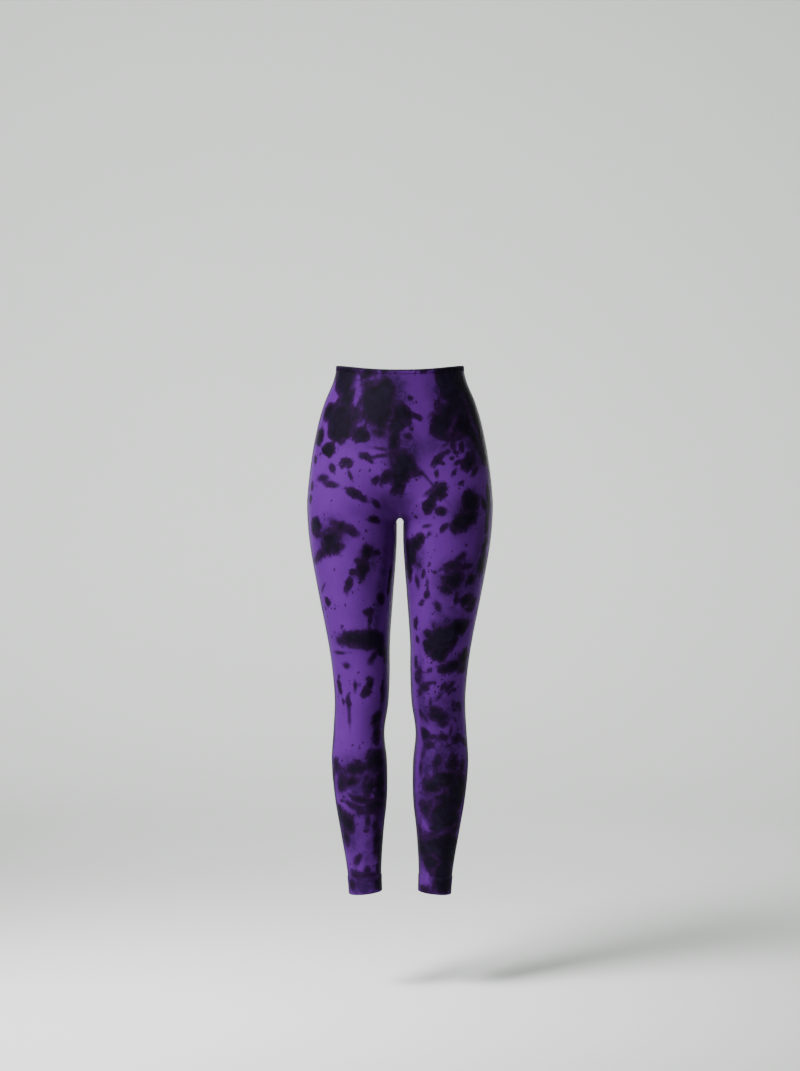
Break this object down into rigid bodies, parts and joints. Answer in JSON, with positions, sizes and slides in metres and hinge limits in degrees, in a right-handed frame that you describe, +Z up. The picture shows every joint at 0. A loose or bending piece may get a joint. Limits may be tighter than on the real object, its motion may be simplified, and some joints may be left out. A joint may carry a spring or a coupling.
{
  "type": "leggings",
  "caption": "Full-length high-waisted leggings in mottled stretch knit, filled out as worn, with a narrow elastic waist and turned cuffs.",
  "frame": {"origin": "middle of the waist opening, level with the top of the side seams, where the wearer holds the garment up", "axes": "+Z up along the body, front faces -Y, the wearer's left is +X"},
  "size_m": [0.3396, 0.2198, 0.9685],
  "materials": {
    "mottled_knit": "satin-matte nylon and elastane knit, purple with soft-edged near-black blotches and splashes",
    "cuff_knit": "the same knit turned double",
    "dark_trim": "near-black elastic edge and seam thread, matte"
  },
  "bodies": {
    "root": {"front_panel": "mottled_knit", "back_left": "mottled_knit", "back_right": "mottled_knit", "waist_binding": "dark_trim", "cuff_left": "cuff_knit", "cuff_right": "cuff_knit"}
  },
  "joints": []
}
